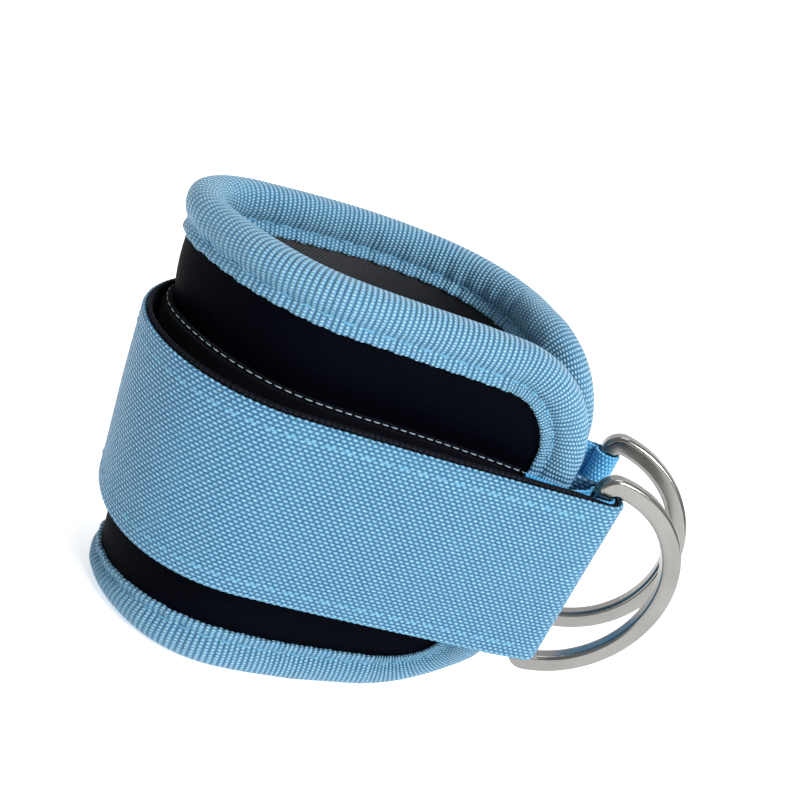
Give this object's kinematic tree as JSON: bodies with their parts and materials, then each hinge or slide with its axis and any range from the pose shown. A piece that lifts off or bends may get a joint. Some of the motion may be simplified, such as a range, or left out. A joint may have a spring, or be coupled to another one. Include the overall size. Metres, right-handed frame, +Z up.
{
  "type": "ankle cuff",
  "caption": "Padded ankle cuff for a cable machine: a bound neoprene panel wrapped into a loop, held by a webbing hook-and-loop strap, with D-rings to clip a cable to.",
  "frame": {"origin": "middle of the bounding box at floor level, under the standing cuff", "axes": "+Z up along the leg, +X towards the D-rings, +Y towards the back of the wrap, away from the strap's front run"},
  "size_m": [0.1548, 0.087, 0.109],
  "materials": {
    "blue_webbing": "coarse woven nylon",
    "blue_binding": "ribbed woven tape",
    "black_shell": "smooth knit",
    "black_lining": "soft brushed knit",
    "foam": "closed-cell foam",
    "hook_and_loop": "ribbed hook tape",
    "blue_thread": "twisted thread",
    "ring_metal": "satin with polished rim"
  },
  "bodies": {
    "cuff": {"outer_cover": "black_shell", "foam_core": "foam", "inner_lining": "black_lining", "edge_binding": "blue_binding", "base_webbing": "hook_and_loop", "loop_tape": "hook_and_loop", "front_ring_tab": "blue_webbing", "back_ring_tab": "blue_webbing", "closure_strap": "blue_webbing", "hook_tape": "hook_and_loop", "binding_stitches_outside": "blue_thread", "binding_stitches_inside": "blue_thread", "base_webbing_stitches": "blue_thread", "strap_edge_stitches": "blue_thread", "front_tab_stitches": "blue_thread", "back_tab_stitches": "blue_thread", "strap_anchor_stitches": "blue_thread"},
    "front_ring": {"front_d_ring": "ring_metal"},
    "back_ring": {"back_d_ring": "ring_metal"},
    "tail": {"strap_tail": "blue_webbing", "tail_hook_tape": "hook_and_loop", "tail_hem": "blue_webbing", "tail_edge_stitches": "blue_thread", "tail_hem_stitches": "blue_thread"}
  },
  "joints": [
    {"name": "front_ring_swing", "type": "hinge", "parent": "cuff", "child": "front_ring", "pos_m": [0.04586, -0.0112, 0.0545], "axis": [0, 0, 1], "range_deg": [-100, 4]},
    {"name": "back_ring_swing", "type": "hinge", "parent": "cuff", "child": "back_ring", "pos_m": [0.04586, 0.0081, 0.058], "axis": [0, 0, 1], "range_deg": [-2, 95]},
    {"name": "tail_peel", "type": "hinge", "parent": "cuff", "child": "tail", "pos_m": [-0.07504, 0.00594, 0.0545], "axis": [0, 0, 1], "range_deg": [0, 110]}
  ]
}
